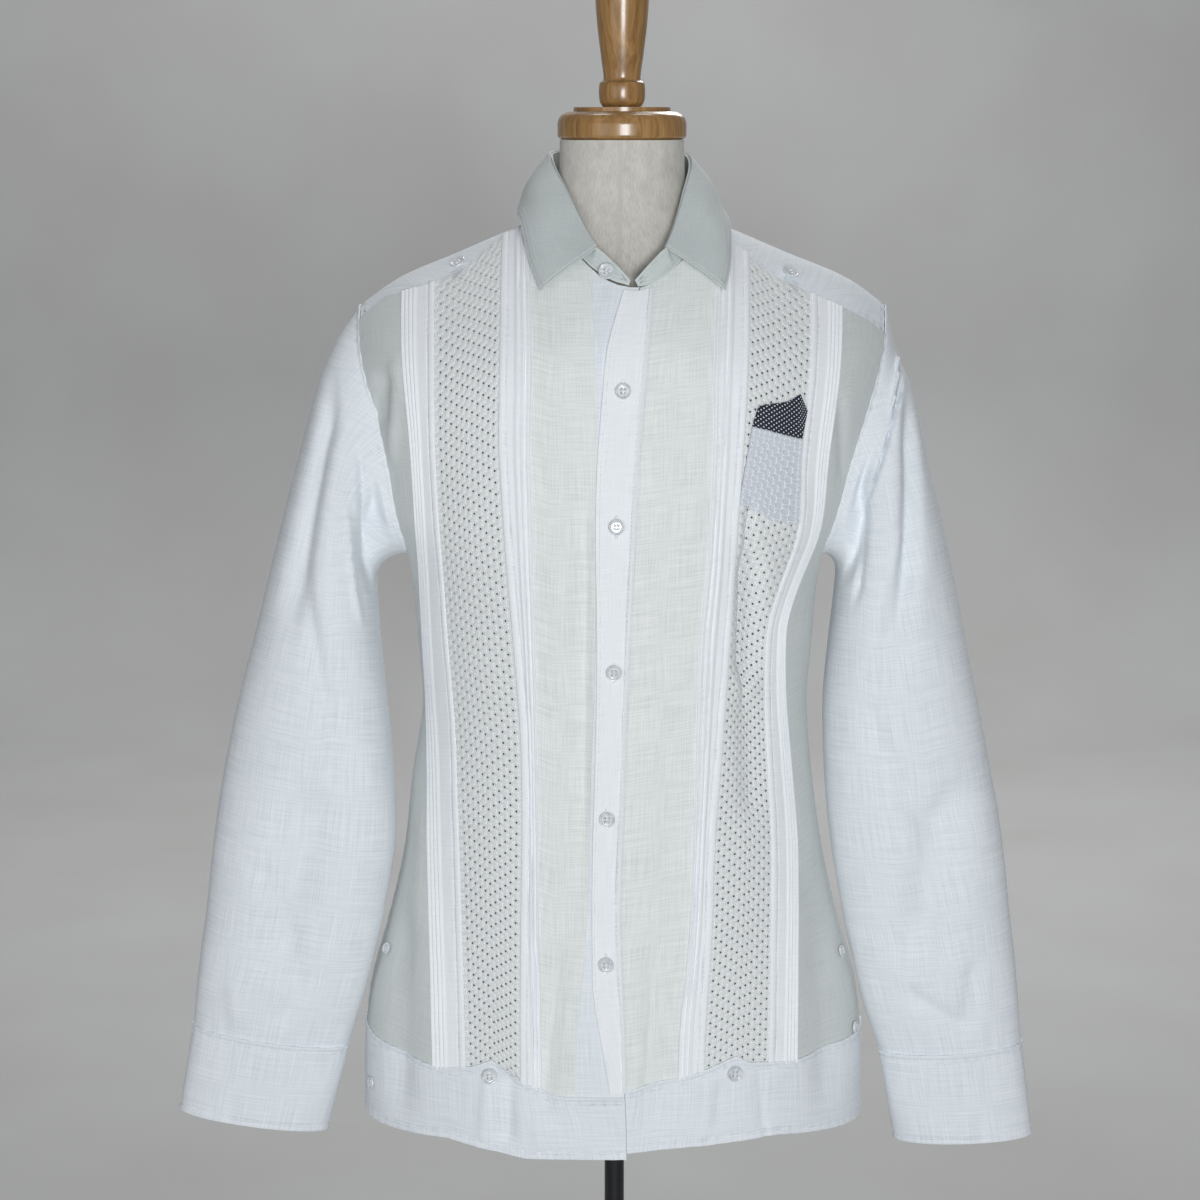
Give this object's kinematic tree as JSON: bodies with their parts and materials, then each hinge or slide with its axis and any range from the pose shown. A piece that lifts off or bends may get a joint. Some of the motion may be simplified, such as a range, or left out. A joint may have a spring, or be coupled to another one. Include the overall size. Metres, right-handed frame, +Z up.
{
  "type": "guayabera shirt on dress form",
  "caption": "Long-sleeved shirt with lace strips, pintucks, chest pocket and hem band, standing buttoned on a limbless dress form with pole and round base.",
  "frame": {"origin": "centre of the dress form's base on its underside", "axes": "+Z up, -Y is the shirt's front, +X is the wearer's left"},
  "size_m": [0.6915, 0.32, 1.211],
  "materials": {
    "white_linen": "matt, slubby plain weave",
    "ivory_linen": "matt, half-sheer slubby weave",
    "tucked_cotton": "matt, fine plain weave",
    "lace": "matt thread with open holes",
    "side_cotton": "matt, smooth plain weave",
    "collar_cotton": "matt, pressed plain weave",
    "dotted_cotton": "matt, dark with white dots",
    "pearl": "glossy",
    "form_jersey": "matt jersey",
    "turned_wood": "satin varnish",
    "black_steel": "satin black"
  },
  "bodies": {
    "root": {"button_stand_right": "white_linen", "placket": "white_linen", "hem_band_right": "white_linen", "hem_band_left": "white_linen", "hem_band_back": "white_linen", "back_panel": "white_linen", "yoke": "white_linen", "sleeve_right": "white_linen", "sleeve_left": "white_linen", "cuff_right": "white_linen", "cuff_left": "white_linen", "centre_panel_right": "ivory_linen", "centre_panel_left": "ivory_linen", "inner_tucks_right": "tucked_cotton", "inner_tucks_left": "tucked_cotton", "outer_tucks_right": "tucked_cotton", "outer_tucks_left": "tucked_cotton", "lace_panel_right": "lace", "lace_panel_left": "lace", "pocket": "lace", "side_panel_right": "side_cotton", "side_panel_left": "side_cotton", "collar_leaf": "collar_cotton", "collar_stand": "collar_cotton", "contrast_piece": "dotted_cotton", "button_placket_1": "pearl", "button_placket_2": "pearl", "button_placket_3": "pearl", "button_placket_4": "pearl", "button_placket_5": "pearl", "button_yoke_right": "pearl", "button_yoke_left": "pearl", "button_hem_right": "pearl", "button_hem_left": "pearl", "button_vent_right_upper": "pearl", "button_vent_right_lower": "pearl", "button_vent_left_upper": "pearl", "button_vent_left_lower": "pearl", "button_stand": "pearl", "button_cuff_right": "pearl", "button_cuff_left": "pearl", "form_torso": "form_jersey", "neck_cap": "turned_wood", "finial": "turned_wood", "pole": "black_steel", "base": "black_steel"}
  },
  "joints": []
}
